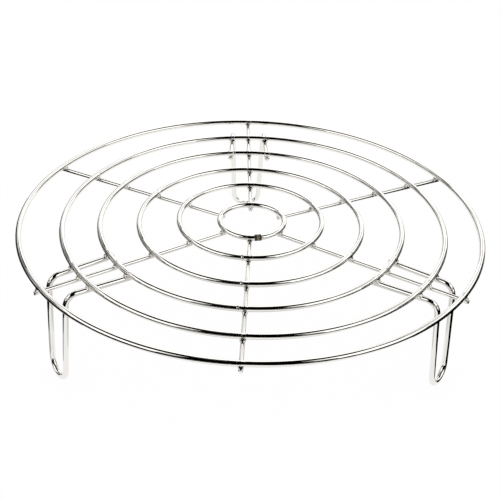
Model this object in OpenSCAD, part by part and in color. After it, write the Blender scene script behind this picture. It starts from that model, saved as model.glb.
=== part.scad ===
// Round wire cooling rack: six rings lie on six spokes, and three hairpin legs carry them.
// All sizes are millimetres. The feet stand on z = 0, and the Z axis is the axis of the outer ring.
// Bearings are degrees round the Z axis from +X. The front of the rack faces -Y.

/* [Rings] */
// Thickness of the ring wire
ring_wire = 4; // [3:0.1:6]
// Radius of the smallest ring, to the middle of its wire
inner_ring_radius = 23; // [16:0.5:40]
// Step in radius from one ring to the next
ring_pitch = 28; // [20:0.5:36]

/* [Spokes] */
// Thickness of the spoke wire
spoke_wire = 3; // [2:0.1:5]
// How far a spoke reaches past the outer edge of the outer ring
spoke_tip = 2; // [0:0.1:6]
// How far a spoke reaches past the inner edge of the inner ring
spoke_nub = 1.5; // [0:0.1:6]
// Chamfer on the cut ends of spokes and legs
end_chamfer = 0.4; // [0.1:0.05:1]

/* [Legs] */
// Overall height, from the feet to the top of the rings
rack_height = 78; // [50:0.5:120]
// Thickness of the leg wire
leg_wire = 4; // [3:0.1:6]
// How far the inner ends of the runs reach past the fourth ring
run_nub = 2.5; // [0:0.1:6]
// Distance between the two runs of a leg at their inner ends
run_gap = 29; // [22:0.5:40]
// Distance between the two runs where they turn down
knee_gap = 25; // [20:0.5:36]
// How far inside the outer ring the legs turn down
knee_inset = 12; // [9:0.5:14]
// Radius of the bend at the knee, to the middle of the wire
knee_bend = 8; // [5:0.25:10]
// How much thicker the wire is in its bends, where bending upsets it
bend_swell = 0.04; // [0.02:0.01:0.2]
// How far the foot stands outside the knee
foot_splay = 3.5; // [0:0.25:10]
// Width of the U at the foot, to the middle of the wire
foot_gap = 21; // [12:0.5:30]

/* [Welds] */
// How deep a crossing wire sinks into the one above when it is welded
set_down = 0.4; // [0.1:0.05:0.8]
// Diameter of the metal squeezed out where a spoke crosses a ring
spoke_bead = 4.6; // [3:0.1:7]
// Diameter of the metal squeezed out where a leg crosses a ring
leg_bead = 5.4; // [4:0.1:8]
// Length along the ring of the butt weld that closes it
seam_length = 5; // [2:0.5:10]
// How far the butt weld swells out of the wire
seam_swell = 0.3; // [0.1:0.05:0.8]

/* [Hidden] */
// The rack was set up by hand, so the spokes and the rings are not quite evenly placed
SPOKE_BEARING = [28.5, 92, 153.5, 215, 269, 328.5];
// Which spoke each leg straddles: back, left, right
LEG_SPOKE = [1, 3, 5];
// Where the middle of each ring lies, from the inner ring to the outer
RING_SHIFT = [[0.5, 0], [-0.5, 2], [-0.5, -1.5], [0, -1], [2, -1.5], [0, 0]];
// Furthest that a ring lies off the middle of the rack
RING_SLACK = max([for (s = RING_SHIFT) norm(s)]);
// How far along the ring each butt weld lies from the front spoke
SEAM_OFFSET = [5.5, -5, -5, -6, -7, -7];
FRONT_SPOKE = 4;
STEEL = "silver";
SCORCHED = "tan";
$fn = 48;

RINGS = 6;
RUN_RINGS = [3, 4];
ring_r = ring_wire / 2;
spoke_r = spoke_wire / 2;
leg_r = leg_wire / 2;
function ring_radius(k) = inner_ring_radius + k * ring_pitch;
outer_radius = ring_radius(RINGS - 1);

// Heights of the wires' middles: rings on top, spokes and runs sunk into their undersides
ring_z = rack_height - ring_r;
spoke_z = ring_z - ring_r - spoke_r + set_down;
run_z = ring_z - ring_r - leg_r + set_down;
weld_z = ring_z - ring_r + set_down / 2;

// A leg is drawn with x outward, y along the ring and z up
knee_x = outer_radius - knee_inset;
run_x = ring_radius(RUN_RINGS[0]) - ring_r - run_nub;
toe = atan2((run_gap - knee_gap) / 2, knee_x - run_x);
run_length = norm([knee_x - run_x, (run_gap - knee_gap) / 2]);
// The two drops and the U lie in one plane, which leans outward by the splay
drop = run_z - (leg_wire + bend_swell) / 2;
splay = atan2(foot_splay, drop);
u_r = foot_gap / 2;
u_depth = norm([drop, foot_splay]) - u_r;
reach = norm([knee_gap / 2, u_depth]);
pinch = acos(u_r / reach) - atan2(u_depth, knee_gap / 2);
drop_length = sqrt(reach * reach - u_r * u_r);
// Ways the wire goes along one run, down its drop and up the other drop, and the axes it is bent about
run_way = [cos(toe), -sin(toe), 0];
drop_way = [cos(pinch) * sin(splay), -sin(pinch), -cos(pinch) * cos(splay)];
rise_way = [-drop_way[0], drop_way[1], -drop_way[2]];
knee_axis = cross(run_way, drop_way);
foot_axis = cross(drop_way, rise_way);
knee_turn = acos(run_way * drop_way);
// The bend is limited by the room between the weld on the fifth ring and the knee
knee_room = knee_x - ring_radius(RUN_RINGS[1]) - RING_SLACK - leg_bead / 2;
knee_r = min(knee_bend, knee_room / tan(knee_turn / 2));
knee_back = knee_r * tan(knee_turn / 2);
// A straight stretch reaches a little into its bends, while it still lies inside the thicker wire there
bend_lap = sqrt(bend_swell * knee_r) / 2;
function roll(from, to, along) = atan2(cross(from, to) * along, from * to);
knee_roll = roll([sin(toe), cos(toe), 0], knee_axis, run_way);
foot_roll = roll(knee_axis, foot_axis, drop_way);

function turn(p, a) = [p[0] * cos(a) - p[1] * sin(a), p[0] * sin(a) + p[1] * cos(a)];
// Distance along a line from p, in direction d, to where it last meets a circle
function reach_ring(p, d, k) =
    let (q = p - RING_SHIFT[k], h = q * d) sqrt(ring_radius(k) ^ 2 - q * q + h * h) - h;
function spoke_cross(j, k) =
    let (d = turn([1, 0], SPOKE_BEARING[j])) d * reach_ring([0, 0], d, k);
function run_cross(leg, side, k) =
    let (a = SPOKE_BEARING[LEG_SPOKE[leg]])
    let (p = turn([run_x, side * run_gap / 2], a), d = turn([1, 0], a - side * toe))
    p + d * reach_ring(p, d, k);
// Bearing of a ring's butt weld, seen from the middle of the ring
function degrees(length, k) = length / ring_radius(k) * 180 / PI;
function seam_bearing(k) =
    let (q = spoke_cross(FRONT_SPOKE, k) - RING_SHIFT[k]) atan2(q[1], q[0]) + degrees(SEAM_OFFSET[k], k);

// A ring's wire, bent to a full circle that starts and ends at its butt weld
module hoop(k) {
    translate([RING_SHIFT[k][0], RING_SHIFT[k][1], ring_z]) rotate([0, 0, seam_bearing(k)])
        rotate_extrude($fn = 180) translate([ring_radius(k), 0]) circle(r = ring_r);
}

// A straight spoke wire along +z with both ends trimmed
module trimmed_wire(length) {
    cylinder(h = end_chamfer, r1 = spoke_r - end_chamfer, r2 = spoke_r);
    translate([0, 0, end_chamfer]) cylinder(h = length - 2 * end_chamfer, r = spoke_r);
    translate([0, 0, length - end_chamfer])
        cylinder(h = end_chamfer, r1 = spoke_r, r2 = spoke_r - end_chamfer);
}

// A spoke before the rings are pressed into it
module spoke_blank(j) {
    x0 = ring_radius(0) - ring_r - spoke_nub;
    x1 = outer_radius + ring_r + spoke_tip;
    rotate([0, 0, SPOKE_BEARING[j]]) translate([x0, 0, spoke_z]) rotate([0, 90, 0]) trimmed_wire(x1 - x0);
}

// A bent wire runs along +z, and each step draws its own stretch and then places what follows
module straight(length, lap_start, lap_end) {
    translate([0, 0, -lap_start]) cylinder(h = lap_start, r = leg_r);
    cylinder(h = length + lap_end, r = leg_r);
    translate([0, 0, length]) children();
}

module bend(radius, angle) {
    translate([radius, 0, 0]) {
        rotate([-90, 0, 0]) rotate([0, 0, 180]) rotate_extrude(angle = angle) translate([radius, 0])
            circle(d = leg_wire + bend_swell);
        rotate([0, angle, 0]) translate([-radius, 0, 0]) children();
    }
}

module cut_end() {
    cylinder(h = end_chamfer, r1 = leg_r, r2 = leg_r - end_chamfer);
}

// A hairpin leg before the rings are pressed into its runs: run, knee, drop, foot, drop, knee, run
module leg_blank(leg) {
    run = run_length - knee_back - end_chamfer;
    fall = drop_length - knee_back;
    rotate([0, 0, SPOKE_BEARING[LEG_SPOKE[leg]]]) translate([run_x, run_gap / 2, run_z])
        rotate([0, 0, -toe]) rotate([0, 90, 0]) {
            translate([0, 0, end_chamfer]) mirror([0, 0, 1]) cut_end();
            translate([0, 0, end_chamfer])
                straight(run, 0, bend_lap) rotate([0, 0, knee_roll]) bend(knee_r, knee_turn)
                straight(fall, bend_lap, bend_lap) rotate([0, 0, foot_roll]) bend(u_r, 180 - 2 * pinch)
                straight(fall, bend_lap, bend_lap) rotate([0, 0, -foot_roll]) bend(knee_r, knee_turn)
                straight(run, bend_lap, 0) cut_end();
        }
}

module ring(k) {
    color(STEEL) hoop(k);
}

// Each ring leaves a shallow saddle in the spoke that it is welded to
module spoke(j) {
    color(STEEL) difference() {
        spoke_blank(j);
        for (k = [0 : RINGS - 1]) hoop(k);
    }
}

module leg(n) {
    color(STEEL) difference() {
        leg_blank(n);
        for (k = RUN_RINGS) hoop(k);
    }
}

// Squeezed-out metal that fills the corner round each crossing of a ring and the spokes
module ring_welds(k) {
    color(STEEL) for (j = [0 : len(SPOKE_BEARING) - 1]) difference() {
        translate([spoke_cross(j, k)[0], spoke_cross(j, k)[1], weld_z]) sphere(d = spoke_bead);
        hoop(k);
        spoke_blank(j);
    }
}

module leg_welds(n) {
    color(STEEL) for (k = RUN_RINGS, side = [-1, 1]) difference() {
        translate([run_cross(n, side, k)[0], run_cross(n, side, k)[1], weld_z]) sphere(d = leg_bead);
        hoop(k);
        leg_blank(n);
    }
}

// The swollen collar where the two ends of a ring's wire were butted together
module seam(k) {
    arc = degrees(seam_length, k);
    color(SCORCHED) translate([RING_SHIFT[k][0], RING_SHIFT[k][1], ring_z])
        rotate([0, 0, seam_bearing(k) - arc / 2]) rotate_extrude(angle = arc) translate([ring_radius(k), 0])
            difference() {
                circle(r = ring_r + seam_swell);
                circle(r = ring_r);
            }
}

ring(0);  // ring_1
ring(1);  // ring_2
ring(2);  // ring_3
ring(3);  // ring_4
ring(4);  // ring_5
ring(5);  // ring_6
spoke(0);  // spoke_1
spoke(1);  // spoke_2
spoke(2);  // spoke_3
spoke(3);  // spoke_4
spoke(4);  // spoke_5
spoke(5);  // spoke_6
leg(0);  // leg_back
leg(1);  // leg_left
leg(2);  // leg_right
ring_welds(0);  // ring_1_welds
ring_welds(1);  // ring_2_welds
ring_welds(2);  // ring_3_welds
ring_welds(3);  // ring_4_welds
ring_welds(4);  // ring_5_welds
ring_welds(5);  // ring_6_welds
leg_welds(0);  // leg_back_welds
leg_welds(1);  // leg_left_welds
leg_welds(2);  // leg_right_welds
seam(0);  // ring_1_seam
seam(1);  // ring_2_seam
seam(2);  // ring_3_seam
seam(3);  // ring_4_seam
seam(4);  // ring_5_seam
seam(5);  // ring_6_seam
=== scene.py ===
"""Looks of a round wire cooling rack: six rings on six spokes, carried by three hairpin legs.

Every wire is drawn as its maker would bend it, from one round section that is extruded and spun.
Lengths of the rack are millimetres, as on a workshop drawing, and MM turns them to Blender's metres.
The studio round it is given in metres.
"""

import math
import random

import bmesh
import bpy
import numpy as np
from mathutils import Matrix, Vector


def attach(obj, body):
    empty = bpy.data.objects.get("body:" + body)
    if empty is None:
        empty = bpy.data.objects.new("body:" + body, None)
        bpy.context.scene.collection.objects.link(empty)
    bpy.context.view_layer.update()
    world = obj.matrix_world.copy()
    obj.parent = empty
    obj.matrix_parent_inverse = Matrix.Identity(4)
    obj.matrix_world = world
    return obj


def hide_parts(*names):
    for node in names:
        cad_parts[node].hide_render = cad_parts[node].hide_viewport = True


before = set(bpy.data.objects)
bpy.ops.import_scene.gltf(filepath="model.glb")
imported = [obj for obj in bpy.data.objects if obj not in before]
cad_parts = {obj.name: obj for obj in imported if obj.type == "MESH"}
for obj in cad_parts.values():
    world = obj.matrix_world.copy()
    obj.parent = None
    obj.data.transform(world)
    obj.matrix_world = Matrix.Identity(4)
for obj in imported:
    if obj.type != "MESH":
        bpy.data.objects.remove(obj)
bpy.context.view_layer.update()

MM = 0.001

# Wires
RING_WIRE, SPOKE_WIRE, LEG_WIRE = 4.0, 3.0, 4.0
RING_RADIUS = [23.0, 51.0, 79.0, 107.0, 135.0, 163.0]
RING_SHIFT = [(0.5, 0), (-0.5, 2), (-0.5, -1.5), (0, -1), (2, -1.5), (0, 0)]
SPOKE_BEARING = [28.5, 92, 153.5, 215, 269, 328.5]
FRONT_SPOKE = 4
# The three spokes at the back end under the inner ring's edge, and the others reach a little past it
SPOKE_INNER, SPOKE_OUTER = [21.2, 20.6, 21.2, 19.5, 19.5, 19.5], 167.0
# A spoke's ends were sheared and then tumbled, so they are domed: distance from the end, share of radius
SPOKE_DOME = [(0.0, 0.55), (0.12, 0.8), (0.35, 0.95), (0.7, 1.0)]
# Heights of the wires' middles, and of the welds between them
RING_Z, SPOKE_Z, RUN_Z, WELD_Z = 76.0, 72.9, 72.4, 74.2

# Legs: bearings, and sizes with x outward, y along the ring and z up
LEG_BEARING = {"leg_back": 92, "leg_left": 215, "leg_right": 328.5}
RUN_RINGS = (3, 4)
RUN_X, KNEE_X, RUN_GAP, KNEE_GAP = 102.5, 151.0, 29.0, 25.0
KNEE_BEND, FOOT_SPLAY, FOOT_GAP, BEND_SWELL = 8.0, 3.5, 21.0, 0.04
END_CHAMFER = 0.4

# How finely wires are drawn: sides of a section, step round a ring, and steps of a bend
WIRE_SIDES, RING_STEP, KNEE_STEPS, FOOT_STEPS = 32, 1.2, 20, 48
# A short step beside each end keeps the shading of the long straight clean
SPOKE_END_STEP, LEG_END_STEP = 2.0, 0.3
MERGE_DISTANCE = 0.002

# Flats that welding electrodes leave on the rings: half length, depth, and how much of the crown is left
FLAT_REACH, FLAT_DEPTH, FLAT_CROWN = (1.4, 2.2), (0.05, 0.14), 0.12

# Cross welds: how far the hot stretch reaches along the ring and along the wire under it, and how far
# it keeps from the end of a spoke and of a leg's run
WELD_RING_REACH, WELD_WIRE_REACH = 3.6, 4.0
SPOKE_END_CLEAR, RUN_END_CLEAR = 0.4, 0.6
WELD_SIDES, WELD_RING_STEPS = 24, 6
# The pillow of squeezed steel: half length, how far it stands out beside the wire, half height, middle
PILLOW_REACH, PILLOW_PROUD, PILLOW_HALF, PILLOW_Z = (2.5, 2.9), (0.15, 0.4), 0.8, WELD_Z - 0.1
# The squeezed steel ran smooth, and froze in lumps a little over a millimetre across
WELD_GRAIN, WELD_SMOOTHING = 0.3, 7
LUMP_SIZE, LUMP_HEIGHT, LUMP_LEVEL = 1.3, 0.7, 0.55
# How far the straw tint of a weld's heat reaches along the wires
HEAT_REACH = 4.5

# Butt welds that close the rings, by their distance along the ring from the front spoke
SEAM_OFFSET = [5.5, -5, -5, -6, -7, -7]
# Collars: distance along the wire from the weld's middle, and how far it stands above the wire
SCORCHED_COLLAR = [(-2.3, -0.04), (-2.2, 0.2), (-1.9, 0.28), (-1.0, 0.24), (-0.4, 0.28), (0.0, 0.22),
                   (0.4, 0.28), (1.0, 0.24), (1.9, 0.28), (2.2, 0.2), (2.3, -0.04)]
# A dressed collar is flush but for its ridge, given from the ridge's middle in shares of its height
COLLAR_START, COLLAR_END = [(-2.5, -0.06), (-2.3, -0.02)], [(2.4, -0.02), (2.5, -0.06)]
RIDGE_FOOT, RIDGE_FOOT_PROUD = 0.75, -0.01
RIDGE_FORM = [(-0.5, 0.45), (-0.25, 0.9), (0, 1), (0.25, 0.9), (0.5, 0.45)]
# Where each ring's ridge is in its collar, and how high; the inner ring's weld was never dressed
RIDGE = [None, (1.0, 0.2), (1.6, 0.2), (1.6, 0.16), (0.0, 0.05), (0.0, 0.05)]

# Camera, fitted to the rings
CAMERA_AIM = Vector((-0.04, -38.97, RING_Z))
CAMERA_AWAY, CAMERA_UP, CAMERA_ROLL = 713.4, math.radians(32.32), math.radians(2.11)
FOCAL, SENSOR = 75.22, 36.0
CLIP_NEAR, CLIP_FAR = 0.01, 50.0

random.seed(7)


# Small helpers

def linear(hex_colour):
    """An sRGB hex colour as the linear RGBA that Blender's sockets take."""
    srgb = [int(hex_colour[i:i + 2], 16) / 255 for i in (1, 3, 5)]
    return [c / 12.92 if c <= 0.04045 else ((c + 0.055) / 1.055) ** 2.4 for c in srgb] + [1.0]


def add(tree, kind, settings=None, values=None, links=None):
    """Adds one node: its settings, the values on its sockets, and its links from other nodes' sockets."""
    node = tree.nodes.new(kind)
    for key, value in (settings or {}).items():
        setattr(node, key, value)
    for key, value in (values or {}).items():
        node.inputs[key].default_value = value
    for key, source in (links or {}).items():
        tree.links.new(source, node.inputs[key])
    return node


def polar(radius, bearing, z=0.0):
    angle = math.radians(bearing)
    return Vector((radius * math.cos(angle), radius * math.sin(angle), z))


def start_piece(name):
    """An empty mesh at the origin, open for drawing, so that what is drawn keeps its place in the mesh."""
    bpy.ops.object.select_all(action="DESELECT")
    piece = bpy.data.objects.new(name, bpy.data.meshes.new(name))
    bpy.context.scene.collection.objects.link(piece)
    bpy.context.view_layer.objects.active = piece
    piece.select_set(True)
    bpy.ops.object.mode_set(mode="EDIT")
    return piece


def section(centre, way, radius, sides):
    """The round section that a wire is drawn from, square to the way it starts."""
    bpy.ops.mesh.select_all(action="DESELECT")
    bpy.ops.mesh.primitive_circle_add(vertices=sides, radius=radius * MM, location=centre * MM,
                                      rotation=way.to_track_quat("Z", "Y").to_euler())


def draw_on(step):
    """Draws the wire on by one straight step."""
    bpy.ops.mesh.extrude_region_move(TRANSFORM_OT_translate={"value": step * MM})


def swell(centre, factor):
    """Widens or narrows the section at the end of what is drawn."""
    bpy.ops.transform.resize(value=(factor,) * 3, center_override=centre * MM)


def pick(piece, test):
    """Selects the points of the open piece whose place, in millimetres, passes the test."""
    drawing = bmesh.from_edit_mesh(piece.data)
    for point in drawing.verts:
        point.select = test(point.co / MM)
    drawing.select_flush_mode()
    bmesh.update_edit_mesh(piece.data)


def cap_ends():
    """Caps the open ends of what is drawn and turns all faces outwards."""
    bpy.ops.mesh.fill_holes(sides=0)
    bpy.ops.mesh.select_all(action="SELECT")
    bpy.ops.mesh.normals_make_consistent(inside=False)
    bpy.ops.object.mode_set(mode="OBJECT")


def close_piece(angle=50):
    """Merges what meets, closes the piece and smooths all but its sharp edges."""
    bpy.ops.mesh.select_all(action="SELECT")
    bpy.ops.mesh.remove_doubles(threshold=MERGE_DISTANCE * MM)
    cap_ends()
    bpy.ops.object.shade_smooth_by_angle(angle=math.radians(angle))


def points_of(piece):
    """The places of a finished piece's points, in millimetres, one row each."""
    flat = np.empty(3 * len(piece.data.vertices), np.float32)
    piece.data.vertices.foreach_get("co", flat)
    return flat.reshape(-1, 3).astype(float) / MM


def mark_wire(piece, along_across, welds):
    """Keeps each point's place along and across its wire, in millimetres, and how hot the welds made it."""
    layer = piece.data.attributes.new("wire_mm", "FLOAT_VECTOR", "POINT")
    layer.data.foreach_set("vector", along_across.astype(np.float32).ravel())
    middles = np.array([[weld.x, weld.y, WELD_Z] for weld in welds])
    away = np.sqrt(((points_of(piece)[:, None] - middles[None]) ** 2).sum(axis=2)).min(axis=1)
    layer = piece.data.attributes.new("heat", "FLOAT", "POINT")
    layer.data.foreach_set("value", np.exp(-(away / HEAT_REACH) ** 2).astype(np.float32))


def finish_piece(piece, material, slot, *nodes):
    piece.data.materials.append(material)
    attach(piece, "root")
    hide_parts(*nodes)


def make_camera():
    back = Vector((0, -math.cos(CAMERA_UP), math.sin(CAMERA_UP)))
    right = Vector((1, 0, 0))
    up = back.cross(right)
    c, s = math.cos(CAMERA_ROLL), math.sin(CAMERA_ROLL)
    right, up = c * right + s * up, c * up - s * right
    lens = bpy.data.cameras.new("camera")
    lens.lens, lens.sensor_width = FOCAL, SENSOR
    lens.clip_start, lens.clip_end = CLIP_NEAR, CLIP_FAR
    camera = bpy.data.objects.new("camera", lens)
    bpy.context.scene.collection.objects.link(camera)
    turn = Matrix((right, up, back)).transposed().to_4x4()
    camera.matrix_world = Matrix.Translation((CAMERA_AIM + back * CAMERA_AWAY) * MM) @ turn
    bpy.context.scene.camera = camera


make_camera()


# Materials

# Sockets of a Mix node that mixes colours
MIX_FACTOR, MIX_A, MIX_B, MIX_RESULT = 0, 6, 7, 2


def start_material(name):
    mat = bpy.data.materials.new(name)
    mat.use_nodes = True
    return mat, mat.node_tree


def lead_to_shader(tree, links, values):
    """Leads other nodes to the shader's sockets, and sets those that are the same all over."""
    shader = tree.nodes["Principled BSDF"]
    for key, source in links.items():
        tree.links.new(source, shader.inputs[key])
    for key, value in values.items():
        shader.inputs[key].default_value = value


def wire_pattern(tree, along, across, detail):
    """A noise that follows the wire: its grain is so many millimetres along it and across it."""
    place = add(tree, "ShaderNodeAttribute", {"attribute_name": "wire_mm"})
    grain = add(tree, "ShaderNodeVectorMath", {"operation": "MULTIPLY"},
                {1: (1 / along, 1 / across, 1 / across)}, {0: place.outputs["Vector"]})
    return add(tree, "ShaderNodeTexNoise", values={"Scale": 1.0, "Detail": detail, "Roughness": 0.6},
               links={"Vector": grain.outputs[0]})


def body_pattern(tree, size, detail):
    """A noise on the object's own coordinates, with patches so many millimetres across."""
    place = add(tree, "ShaderNodeTexCoord")
    return add(tree, "ShaderNodeTexNoise",
               values={"Scale": 1 / (size * MM), "Detail": detail, "Roughness": 0.6},
               links={"Vector": place.outputs["Object"]})


def drawn_stainless_polished():
    """Stainless wire, drawn through a die and electropolished after welding: a bright, slightly warm
    mirror with faint lines along the wire, a polish that varies in patches, and a straw tint at welds."""
    mat, tree = start_material("drawn_stainless_polished")
    # Die lines are about 0.03 mm wide and 40 mm long; drawn 0.5 mm wide so that they show
    lines = wire_pattern(tree, along=40.0, across=0.5, detail=2.0)
    # Electropolish leaves clearer and duller patches about 8 mm across
    patches = body_pattern(tree, size=8.0, detail=2.0)
    steel = add(tree, "ShaderNodeMix", {"data_type": "RGBA"},
                {MIX_A: linear("#F5F3EF"), MIX_B: linear("#E7E4DF")},
                {MIX_FACTOR: lines.outputs["Fac"]})
    heat = add(tree, "ShaderNodeAttribute", {"attribute_name": "heat"})
    tint = add(tree, "ShaderNodeMath", {"operation": "MULTIPLY"},
               links={0: heat.outputs["Fac"], 1: patches.outputs["Fac"]})
    straw = add(tree, "ShaderNodeMix", {"data_type": "RGBA"}, {MIX_B: linear("#D9C9A3")},
                {MIX_FACTOR: tint.outputs[0], MIX_A: steel.outputs[MIX_RESULT]})
    dull = add(tree, "ShaderNodeMath", {"operation": "MULTIPLY"},
               links={0: lines.outputs["Fac"], 1: patches.outputs["Fac"]})
    rough = add(tree, "ShaderNodeMapRange",
                values={"From Min": 0.1, "From Max": 0.45, "To Min": 0.012, "To Max": 0.06},
                links={"Value": dull.outputs[0]})
    bump = add(tree, "ShaderNodeBump", values={"Strength": 0.3, "Distance": 0.03 * MM},
               links={"Height": lines.outputs["Fac"]})
    lead_to_shader(tree, {"Base Color": straw.outputs[MIX_RESULT], "Roughness": rough.outputs[0],
                          "Normal": bump.outputs[0]}, {"Metallic": 1.0})
    return mat


def weld_nugget():
    """Stainless squeezed out hot between two wires and electropolished with them: bright on its lumps,
    duller in its small pits, and straw to brown in patches."""
    mat, tree = start_material("weld_nugget_stainless")
    # Pits about 0.5 mm apart, and tinted patches about 2 mm across
    pits = body_pattern(tree, size=0.5, detail=3.0)
    patches = body_pattern(tree, size=2.0, detail=2.0)
    tint = add(tree, "ShaderNodeMapRange",
               values={"From Min": 0.45, "From Max": 0.75, "To Min": 0.0, "To Max": 0.35},
               links={"Value": patches.outputs["Fac"]})
    steel = add(tree, "ShaderNodeMix", {"data_type": "RGBA"},
                {MIX_A: linear("#E9E6E0"), MIX_B: linear("#A08F70")}, {MIX_FACTOR: tint.outputs[0]})
    rough = add(tree, "ShaderNodeMapRange",
                values={"From Min": 0.3, "From Max": 0.7, "To Min": 0.015, "To Max": 0.07},
                links={"Value": pits.outputs["Fac"]})
    bump = add(tree, "ShaderNodeBump", values={"Strength": 0.15, "Distance": 0.05 * MM},
               links={"Height": pits.outputs["Fac"]})
    lead_to_shader(tree, {"Base Color": steel.outputs[MIX_RESULT], "Roughness": rough.outputs[0],
                          "Normal": bump.outputs[0]}, {"Metallic": 1.0})
    return mat


def ground_butt_weld():
    """A butt weld dressed on a fine wheel: bright steel with marks that run round the wire."""
    mat, tree = start_material("butt_weld_ground_stainless")
    # Wheel marks about 0.1 mm apart and a few millimetres long; drawn 0.4 mm apart so that they show
    marks = wire_pattern(tree, along=0.4, across=4.0, detail=2.0)
    steel = add(tree, "ShaderNodeMix", {"data_type": "RGBA"},
                {MIX_A: linear("#FAF8F4"), MIX_B: linear("#E2DED6")},
                {MIX_FACTOR: marks.outputs["Fac"]})
    rough = add(tree, "ShaderNodeMapRange",
                values={"From Min": 0.3, "From Max": 0.7, "To Min": 0.02, "To Max": 0.09},
                links={"Value": marks.outputs["Fac"]})
    bump = add(tree, "ShaderNodeBump", values={"Strength": 0.12, "Distance": 0.05 * MM},
               links={"Height": marks.outputs["Fac"]})
    lead_to_shader(tree, {"Base Color": steel.outputs[MIX_RESULT], "Roughness": rough.outputs[0],
                          "Normal": bump.outputs[0]}, {"Metallic": 1.0})
    return mat


def scorched_butt_weld():
    """A butt weld left as it cooled: a matt brown-grey oxide skin in flakes, near black at its two ends,
    where it meets the wire."""
    mat, tree = start_material("butt_weld_scorched_oxide")
    # Scale in flakes about 0.7 mm across
    flakes = body_pattern(tree, size=0.7, detail=4.0)
    skin = add(tree, "ShaderNodeValToRGB", links={"Fac": flakes.outputs["Fac"]})
    ramp = skin.color_ramp
    ramp.elements[0].position, ramp.elements[0].color = 0.3, linear("#3A3226")
    ramp.elements[1].position, ramp.elements[1].color = 0.7, linear("#A89A7C")
    ramp.elements.new(0.5).color = linear("#756A54")
    # The black begins 0.5 mm from the weld's middle
    place = add(tree, "ShaderNodeAttribute", {"attribute_name": "wire_mm"})
    along = add(tree, "ShaderNodeSeparateXYZ", links={0: place.outputs["Vector"]})
    away = add(tree, "ShaderNodeMath", {"operation": "ABSOLUTE"}, links={0: along.outputs["X"]})
    burnt = add(tree, "ShaderNodeMapRange",
                values={"From Min": 0.5, "From Max": 1.3, "To Min": 0.0, "To Max": 0.97},
                links={"Value": away.outputs[0]})
    colour = add(tree, "ShaderNodeMix", {"data_type": "RGBA"}, {MIX_B: linear("#1B1712")},
                 {MIX_FACTOR: burnt.outputs[0], MIX_A: skin.outputs["Color"]})
    bump = add(tree, "ShaderNodeBump", values={"Strength": 0.6, "Distance": 0.15 * MM},
               links={"Height": flakes.outputs["Fac"]})
    lead_to_shader(tree, {"Base Color": colour.outputs[MIX_RESULT], "Normal": bump.outputs[0]},
                   {"Metallic": 0.35, "Roughness": 0.5})
    return mat


WIRE = drawn_stainless_polished()
NUGGET = weld_nugget()
GROUND = ground_butt_weld()
SCORCHED = scorched_butt_weld()


# Where wires cross

def ring_middle(k, z=0.0):
    return Vector((*RING_SHIFT[k], z))


def reach_ring(start, way, k):
    """Distance along a line from start to where it last meets a ring."""
    q = start - ring_middle(k)
    h = q.dot(way)
    return math.sqrt(RING_RADIUS[k] ** 2 - q.dot(q) + h * h) - h


def spoke_cross(j, k):
    way = polar(1, SPOKE_BEARING[j])
    return way * reach_ring(Vector(), way, k)


def run_line(leg, side):
    """Where one run of a leg starts at its inner end, and the way it goes."""
    toe = math.degrees(math.atan2((RUN_GAP - KNEE_GAP) / 2, KNEE_X - RUN_X))
    turn = Matrix.Rotation(math.radians(LEG_BEARING[leg]), 3, "Z")
    return turn @ Vector((RUN_X, side * RUN_GAP / 2, 0)), polar(1, LEG_BEARING[leg] - side * toe)


def run_cross(leg, side, k):
    start, way = run_line(leg, side)
    return start + way * reach_ring(start, way, k)


def seam_bearing(k):
    q = spoke_cross(FRONT_SPOKE, k) - ring_middle(k)
    return math.degrees(math.atan2(q.y, q.x) + SEAM_OFFSET[k] / RING_RADIUS[k])


def crossings(k):
    """All places where a ring is welded to what lies under it."""
    found = [spoke_cross(j, k) for j in range(len(SPOKE_BEARING))]
    if k in RUN_RINGS:
        found += [run_cross(leg, side, k) for leg in LEG_BEARING for side in (-1, 1)]
    return found


# Wires

def press_flat(piece, at, length, height):
    """The flat that a welding electrode leaves on top of a wire."""
    pick(piece, lambda p: p.z > height and abs(p.x - at.x) < length and abs(p.y - at.y) < length)
    bpy.ops.transform.resize(value=(1, 1, FLAT_CROWN),
                             center_override=Vector((at.x, at.y, height)) * MM)


def along_ring(places, turned, k):
    """How far points are along and across a ring's wire, from their places and turns about its middle."""
    across = np.hypot(places[:, 0], places[:, 1]) - RING_RADIUS[k]
    return np.stack([RING_RADIUS[k] * turned, across, places[:, 2]], axis=1)


def make_ring(k):
    piece = start_piece("ring_%d_wire" % (k + 1))
    middle, bearing = ring_middle(k, RING_Z), seam_bearing(k)
    section(middle + polar(RING_RADIUS[k], bearing), polar(1, bearing + 90), RING_WIRE / 2, WIRE_SIDES)
    bpy.ops.mesh.spin(steps=round(2 * math.pi * RING_RADIUS[k] / RING_STEP), angle=2 * math.pi,
                      center=middle * MM, axis=(0, 0, 1))
    for at in crossings(k):
        press_flat(piece, at, random.uniform(*FLAT_REACH),
                   RING_Z + RING_WIRE / 2 - random.uniform(*FLAT_DEPTH))
    close_piece()
    places = points_of(piece) - np.array(middle)
    turned = np.mod(np.arctan2(places[:, 1], places[:, 0]) - math.radians(bearing), 2 * math.pi)
    mark_wire(piece, along_ring(places, turned, k), crossings(k))
    finish_piece(piece, WIRE, "polished_wire", "ring_%d" % (k + 1))


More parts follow.
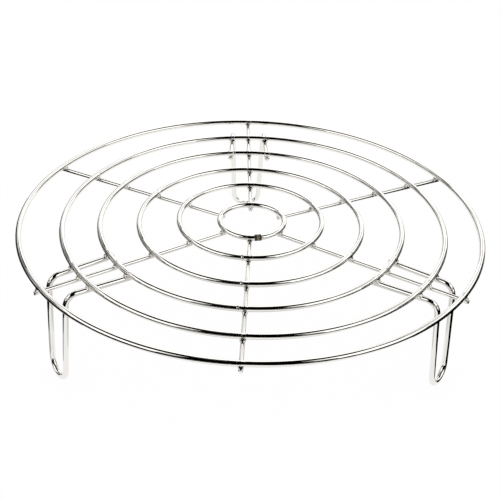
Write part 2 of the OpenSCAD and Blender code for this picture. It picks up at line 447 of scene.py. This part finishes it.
def make_spoke(j):
    piece = start_piece("spoke_%d_wire" % (j + 1))
    way, up = polar(1, SPOKE_BEARING[j]), Vector((0, 0, SPOKE_Z))
    inner = SPOKE_INNER[j]
    section(way * inner + up, way, SPOKE_WIRE / 2 * SPOKE_DOME[0][1], WIRE_SIDES)
    for (a, ra), (b, rb) in zip(SPOKE_DOME, SPOKE_DOME[1:]):
        draw_on(way * (b - a))
        swell(way * (inner + b) + up, rb / ra)
    length = SPOKE_OUTER - inner - 2 * SPOKE_DOME[-1][0]
    for step in (SPOKE_END_STEP, length - 2 * SPOKE_END_STEP, SPOKE_END_STEP):
        draw_on(way * step)
    for (b, rb), (a, ra) in zip(SPOKE_DOME[::-1], SPOKE_DOME[-2::-1]):
        draw_on(way * (b - a))
        swell(way * (SPOKE_OUTER - a) + up, ra / rb)
    close_piece()
    places = points_of(piece)
    side = Vector((-way.y, way.x, 0))
    mark_wire(piece, np.stack([places @ way, places @ side, places[:, 2] - SPOKE_Z], axis=1),
              [spoke_cross(j, k) for k in range(len(RING_RADIUS))])
    finish_piece(piece, WIRE, "polished_wire", "spoke_%d" % (j + 1))


def make_leg(leg):
    piece = start_piece(leg + "_wire")
    radius = LEG_WIRE / 2
    # The drops splay outward and pinch together, so that they meet the foot's round bend without a kink
    drop = RUN_Z - (LEG_WIRE + BEND_SWELL) / 2
    splay = math.atan2(FOOT_SPLAY, drop)
    foot_r = FOOT_GAP / 2
    depth = math.hypot(drop, FOOT_SPLAY) - foot_r
    reach = math.hypot(KNEE_GAP / 2, depth)
    pinch = math.acos(foot_r / reach) - math.atan2(depth, KNEE_GAP / 2)
    turn = Matrix.Rotation(math.radians(LEG_BEARING[leg]), 3, "Z")
    start, run_way = run_line(leg, 1)
    start.z = RUN_Z
    outward, sideways, upward = (math.cos(pinch) * math.sin(splay), -math.sin(pinch),
                                 math.cos(pinch) * math.cos(splay))
    down = turn @ Vector((outward, sideways, -upward))
    rise = turn @ Vector((-outward, sideways, upward))
    back_way = -run_line(leg, -1)[1]
    knee_back = KNEE_BEND * math.tan(run_way.angle(down) / 2)
    run = math.hypot(KNEE_X - RUN_X, (RUN_GAP - KNEE_GAP) / 2) - knee_back
    fall = math.sqrt(reach ** 2 - foot_r ** 2) - knee_back
    at, way, gone = start.copy(), run_way.copy(), 0.0
    side = run_way.cross(Vector((0, 0, 1))).normalized()
    stations = [(at, way, side, gone)]

    def ahead(length):
        nonlocal at, gone
        draw_on(way * length)
        at, gone = at + way * length, gone + length
        stations.append((at, way, side, gone))

    def bend(to, bend_r, steps):
        """One bend round a former. Spin turns the other way from a matrix, so its angle is negative."""
        nonlocal at, way, side, gone
        axis, angle = way.cross(to).normalized(), way.angle(to)
        centre = at + axis.cross(way) * bend_r
        bpy.ops.mesh.spin(steps=steps, angle=-angle, center=centre * MM, axis=axis)
        swing = Matrix.Rotation(angle / steps, 3, axis)
        for _ in range(steps):
            at, way, side = centre + swing @ (at - centre), swing @ way, swing @ side
            gone += bend_r * angle / steps
            stations.append((at, way, side, gone))

    section(at, way, radius - END_CHAMFER, WIRE_SIDES)
    ahead(END_CHAMFER)
    swell(at, radius / (radius - END_CHAMFER))
    ahead(LEG_END_STEP)
    ahead(run - END_CHAMFER - LEG_END_STEP)
    bend(down, KNEE_BEND, KNEE_STEPS)
    ahead(fall)
    bend(rise, foot_r, FOOT_STEPS)
    ahead(fall)
    bend(back_way, KNEE_BEND, KNEE_STEPS)
    ahead(run - END_CHAMFER - LEG_END_STEP)
    ahead(LEG_END_STEP)
    ahead(END_CHAMFER)
    swell(at, (radius - END_CHAMFER) / radius)
    close_piece()
    # Each point is measured from the nearest station of the wire's middle line
    places = points_of(piece)
    middles, ways, sides = (np.array([list(station[n]) for station in stations]) for n in range(3))
    lengths = np.array([station[3] for station in stations])
    near = np.argmin(((places[:, None] - middles[None]) ** 2).sum(axis=2), axis=1)
    out, ways, sides = places - middles[near], ways[near], sides[near]
    along = lengths[near] + (out * ways).sum(axis=1)
    across = [(out * sides).sum(axis=1), (out * np.cross(ways, sides)).sum(axis=1)]
    mark_wire(piece, np.stack([along, *across], axis=1),
              [run_cross(leg, side, k) for side in (-1, 1) for k in RUN_RINGS])
    finish_piece(piece, WIRE, "polished_wire", leg)


# Welds

WELD_LUMPS = bpy.data.textures.new("weld_lumps", "CLOUDS")
WELD_LUMPS.noise_scale, WELD_LUMPS.noise_depth = LUMP_SIZE * MM, 1


def weld_joint(at, k, wire_way, wire, wire_z, reach_in, reach_out):
    """One cross weld in the open piece: the short stretches of both wires that grew hot, and the pillow of
    steel that was squeezed out into the corners between them."""
    middle, radius = ring_middle(k, RING_Z), RING_RADIUS[k]
    bearing, half = math.degrees(math.atan2(at.y - middle.y, at.x - middle.x)), WELD_RING_REACH / radius
    section(middle + polar(radius, bearing - math.degrees(half)),
            polar(1, bearing + 90 - math.degrees(half)), RING_WIRE / 2, WELD_SIDES)
    bpy.ops.mesh.spin(steps=WELD_RING_STEPS, angle=-2 * half, center=middle * MM, axis=(0, 0, 1))
    flat = Vector((at.x, at.y, 0))
    section(flat - wire_way * reach_in + Vector((0, 0, wire_z)), wire_way, wire / 2, WELD_SIDES)
    draw_on(wire_way * (reach_in + reach_out))
    before, after = (min(reach, random.uniform(*PILLOW_REACH)) for reach in (reach_in, reach_out))
    pillow = (flat + wire_way * ((after - before) / 2) + Vector((0, 0, PILLOW_Z))) * MM
    bpy.ops.mesh.select_all(action="DESELECT")
    bpy.ops.mesh.primitive_cube_add(size=2 * MM, location=pillow)
    half_width = wire / 2 + random.uniform(*PILLOW_PROUD)
    bpy.ops.transform.resize(value=((before + after) / 2, half_width, PILLOW_HALF),
                             center_override=pillow)
    bpy.ops.transform.rotate(value=-math.atan2(wire_way.y, wire_way.x), orient_axis="Z",
                             center_override=pillow)


def flow_welds(piece):
    """Lets the steel of each joint run together, so that it lies in a soft hollow between the wires."""

    def smooth(times):
        bpy.ops.object.mode_set(mode="EDIT")
        bpy.ops.mesh.select_all(action="SELECT")
        bpy.ops.mesh.vertices_smooth(factor=0.5, repeat=times)

    bpy.ops.mesh.select_all(action="SELECT")
    cap_ends()
    flow = piece.modifiers.new("flow", "REMESH")
    flow.mode, flow.voxel_size = "VOXEL", WELD_GRAIN * MM
    bpy.ops.object.modifier_apply(modifier=flow.name)
    smooth(WELD_SMOOTHING)
    bpy.ops.object.mode_set(mode="OBJECT")
    lumps = piece.modifiers.new("lumps", "DISPLACE")
    lumps.texture, lumps.texture_coords = WELD_LUMPS, "LOCAL"
    lumps.strength, lumps.mid_level = LUMP_HEIGHT * MM, LUMP_LEVEL
    bpy.ops.object.modifier_apply(modifier=lumps.name)
    smooth(1)
    close_piece(180)


def make_ring_welds(k):
    piece = start_piece("ring_%d_weld_beads" % (k + 1))
    for j, bearing in enumerate(SPOKE_BEARING):
        at = spoke_cross(j, k)
        reach_in = min(WELD_WIRE_REACH, at.length - SPOKE_INNER[j] - SPOKE_END_CLEAR)
        reach_out = min(WELD_WIRE_REACH, SPOKE_OUTER - at.length - SPOKE_END_CLEAR)
        weld_joint(at, k, polar(1, bearing), SPOKE_WIRE, SPOKE_Z, reach_in, reach_out)
    flow_welds(piece)
    finish_piece(piece, NUGGET, "cross_weld", "ring_%d_welds" % (k + 1))


def make_leg_welds(leg):
    piece = start_piece(leg + "_weld_beads")
    for side in (-1, 1):
        start, way = run_line(leg, side)
        for k in RUN_RINGS:
            at = run_cross(leg, side, k)
            reach_in = min(WELD_WIRE_REACH, (at - start).length - RUN_END_CLEAR)
            weld_joint(at, k, way, LEG_WIRE, RUN_Z, reach_in, WELD_WIRE_REACH)
    flow_welds(piece)
    finish_piece(piece, NUGGET, "cross_weld", leg + "_welds")


def dressed_collar(at, high):
    """The collar of a butt weld after the wheel: flush with the wire, with one low ridge left on it."""
    ridge = [(at + along, share * high) for along, share in RIDGE_FORM]
    feet = [(at - RIDGE_FOOT, RIDGE_FOOT_PROUD)], [(at + RIDGE_FOOT, RIDGE_FOOT_PROUD)]
    return COLLAR_START + feet[0] + ridge + feet[1] + COLLAR_END


def make_butt_weld(k):
    piece = start_piece("ring_%d_butt_weld" % (k + 1))
    collar, material = (dressed_collar(*RIDGE[k]), GROUND) if RIDGE[k] else (SCORCHED_COLLAR, SCORCHED)
    middle, bearing, radius = ring_middle(k, RING_Z), seam_bearing(k), RING_RADIUS[k]

    def on_ring(along):
        return middle + polar(radius, bearing + math.degrees(along / radius))

    along, proud = collar[0]
    section(on_ring(along), polar(1, bearing + 90 + math.degrees(along / radius)),
            RING_WIRE / 2 + proud, WIRE_SIDES)
    for further, prouder in collar[1:]:
        bpy.ops.mesh.spin(steps=1, angle=-(further - along) / radius, center=middle * MM, axis=(0, 0, 1))
        swell(on_ring(further), (RING_WIRE / 2 + prouder) / (RING_WIRE / 2 + proud))
        along, proud = further, prouder
    close_piece()
    places = points_of(piece) - np.array(middle)
    turned = np.arctan2(places[:, 1], places[:, 0]) - math.radians(bearing)
    turned = np.mod(turned + math.pi, 2 * math.pi) - math.pi
    mark_wire(piece, along_ring(places, turned, k), [on_ring(0)])
    finish_piece(piece, material, "butt_weld", "ring_%d_seam" % (k + 1))


for k in range(len(RING_RADIUS)):
    make_ring(k)
    make_ring_welds(k)
    make_butt_weld(k)
for j in range(len(SPOKE_BEARING)):
    make_spoke(j)
for leg in LEG_BEARING:
    make_leg(leg)
    make_leg_welds(leg)


# Stage, in metres

FLOOR_SIZE = 6.0
# How much of the paper's look is plain white; the rest takes the rack's shadow
PAPER_GLOW = 0.95
# The tent's panels hang one in front of the other, each a little nearer than the one before
TENT_RADIUS, TENT_STEP = 5.0, 0.02
TENT_COLUMNS, TENT_ROWS = 36, 18
# Walls and lights of the studio: bearings from the back, clockwise; heights; and how light each looks
TENT = {
    "walls": ((-180, 180), (-3, 90), 0.0),
    "left_wall": ((-100, -66), (6, 24), 0.6),
    "left_wall_back": ((-66, -34), (10, 48), 0.25),
    "left_softbox": ((-141, -96), (12, 54), 1.45),
    "left_softbox_front": ((-149, -141), (25, 54), 0.85),
    "left_softbox_back": ((-96, -84), (24, 53), 1.45),
    "left_reflector": ((-84, -52), (36, 48), 1.45),
    "left_reflector_low": ((-40, -12), (24, 31), 0.95),
    "left_reflector_back": ((-34, -12), (35, 42), 1.4),
    "backdrop": ((-12, 44), (5, 60), 1.45),
    "backdrop_low": ((-30, 44), (-3, 5), 0.6),
    "backdrop_left": ((-36, -12), (12, 24), 0.9),
    "backdrop_fold": ((10, 28), (28, 48), 0.5),
    "backdrop_top": ((-14, 30), (60, 68), 0.2),
    "left_top": ((-20, -12), (48, 56), 0.9),
    "right_reflector": ((44, 97), (25, 43), 1.45),
    "right_reflector_top": ((38, 97), (43, 54), 0.42),
    "right_reflector_low": ((44, 97), (14, 25), 0.4),
    "right_softbox": ((97, 141), (7, 54), 1.45),
    "right_softbox_front": ((141, 149), (24, 54), 0.85),
    "right_softbox_foot": ((104, 134), (-3, 7), 0.7),
    "roof_light": ((-100, -30), (78, 86), 0.15),
}

# The soft shade that the rack throws on the paper under its front half
SHADE_RADIUS, SHADE_MIDDLE, SHADE_CORNERS = 0.085, Vector((0, -0.075)), 24
# Patches on the floor: the dark table on both sides of the white paper, a grey strip along the paper's
# left edge, and the shade. Each has its corners and how light it looks.
PATCH_Z = 0.0004
PATCHES = {
    "table_left": (
        [(-0.02, -2), (-0.02, -0.42), (-0.1, -0.25), (-0.2, -0.14), (-0.185, -0.1), (-0.185, 0.05),
         (-0.19, 0.1), (-0.25, 0.17), (-0.27, 0.25), (-0.35, 0.38), (-0.42, 0.5), (-0.55, 0.7),
         (-1.5, 2), (-2.5, 2), (-2.5, -2)], 0.0),
    "table_left_edge": (
        [(-0.2, -0.14), (-0.15, -0.105), (-0.155, 0.05), (-0.18, 0.1), (-0.19, 0.1), (-0.185, 0.05),
         (-0.185, -0.1)], 0.45),
    "table_right": (
        [(0.12, -2), (0.12, -0.4), (0.155, -0.2), (0.165, -0.12), (0.14, -0.085), (0.142, 0.06),
         (0.15, 0.1), (0.2, 0.25), (0.3, 0.33), (0.42, 0.42), (0.55, 0.5), (0.8, 0.62), (2.5, 1.5),
         (2.5, -2)], 0.0),
    "rack_shade": (
        [polar(SHADE_RADIUS, 360 * n / SHADE_CORNERS).xy + SHADE_MIDDLE for n in range(SHADE_CORNERS)],
        0.68),
}


def seen_white(name, colour):
    """White to the camera and in reflections, and an ordinary pale surface to all other light."""
    mat, tree = start_material(name)
    tree.nodes.clear()
    path = add(tree, "ShaderNodeLightPath")
    seen = add(tree, "ShaderNodeMath", {"operation": "MAXIMUM"},
               links={0: path.outputs["Is Camera Ray"], 1: path.outputs["Is Glossy Ray"]})
    seen = add(tree, "ShaderNodeMath", {"operation": "MAXIMUM"},
               links={0: seen.outputs[0], 1: path.outputs["Is Transmission Ray"]})
    part = add(tree, "ShaderNodeMath", {"operation": "MULTIPLY"}, {1: PAPER_GLOW}, {0: seen.outputs[0]})
    glow = add(tree, "ShaderNodeEmission", values={"Color": linear("#FFFFFF"), "Strength": 1.0})
    matt = add(tree, "ShaderNodeBsdfDiffuse", values={"Color": linear(colour)})
    both = add(tree, "ShaderNodeMixShader",
               links={0: part.outputs[0], 1: matt.outputs[0], 2: glow.outputs[0]})
    add(tree, "ShaderNodeOutputMaterial", links={"Surface": both.outputs[0]})
    return mat


def tent_cloth(level):
    """Studio cloth as reflections see it: 0 is black velvet, 1 is white silk, and more is a lit panel."""
    mat, tree = start_material("tent_cloth_%03d" % round(100 * level))
    tree.nodes.clear()
    glow = add(tree, "ShaderNodeEmission", values={"Color": (level, level, level, 1), "Strength": 1.0})
    add(tree, "ShaderNodeOutputMaterial", links={"Surface": glow.outputs[0]})
    return mat


def show_in_reflections(sheet, level):
    """Makes a sheet part of the studio, seen in reflections only."""
    sheet.data.materials.append(tent_cloth(level))
    sheet.visible_camera = False
    sheet.visible_diffuse = False
    sheet.visible_transmission = False
    sheet.visible_shadow = False


def make_world():
    world = bpy.data.worlds.new("studio")
    bpy.context.scene.world = world
    world.use_nodes = True
    sky = world.node_tree.nodes["Background"]
    sky.inputs["Color"].default_value = linear("#FFFFFF")
    sky.inputs["Strength"].default_value = 1.0


def make_floor():
    bpy.ops.object.select_all(action="DESELECT")
    bpy.ops.mesh.primitive_plane_add(size=FLOOR_SIZE)
    sheet = bpy.context.object
    sheet.name = "floor"
    sheet.data.materials.append(seen_white("white_paper", "#FFFFFF"))


def tent_panel(name, bearings, heights, level, away):
    """A patch of the tent round the table, by bearing from the back and by height, both in degrees."""
    bpy.ops.object.select_all(action="DESELECT")
    bpy.ops.mesh.primitive_grid_add(x_subdivisions=TENT_COLUMNS, y_subdivisions=TENT_ROWS, size=1)
    sheet = bpy.context.object
    sheet.name = name
    middle = Vector((0, 0, RING_Z * MM))
    for vertex in sheet.data.vertices:
        bearing = math.radians(bearings[0] + (vertex.co.x + 0.5) * (bearings[1] - bearings[0]))
        height = math.radians(heights[0] + (vertex.co.y + 0.5) * (heights[1] - heights[0]))
        way = Vector((math.sin(bearing) * math.cos(height), math.cos(bearing) * math.cos(height),
                      math.sin(height)))
        vertex.co = away * way + middle
    show_in_reflections(sheet, level)


def floor_patch(name, corners, level):
    """A flat patch that lies on the floor."""
    mesh = bpy.data.meshes.new(name)
    mesh.from_pydata([(x, y, PATCH_Z) for x, y in corners], [], [range(len(corners))])
    sheet = bpy.data.objects.new(name, mesh)
    bpy.context.scene.collection.objects.link(sheet)
    show_in_reflections(sheet, level)


make_world()
make_floor()
for row, (name, (bearings, heights, level)) in enumerate(TENT.items()):
    tent_panel("tent_" + name, bearings, heights, level, TENT_RADIUS - TENT_STEP * row)
for name, (corners, level) in PATCHES.items():
    floor_patch(name, corners, level)

bpy.context.scene.view_settings.view_transform = "Standard"
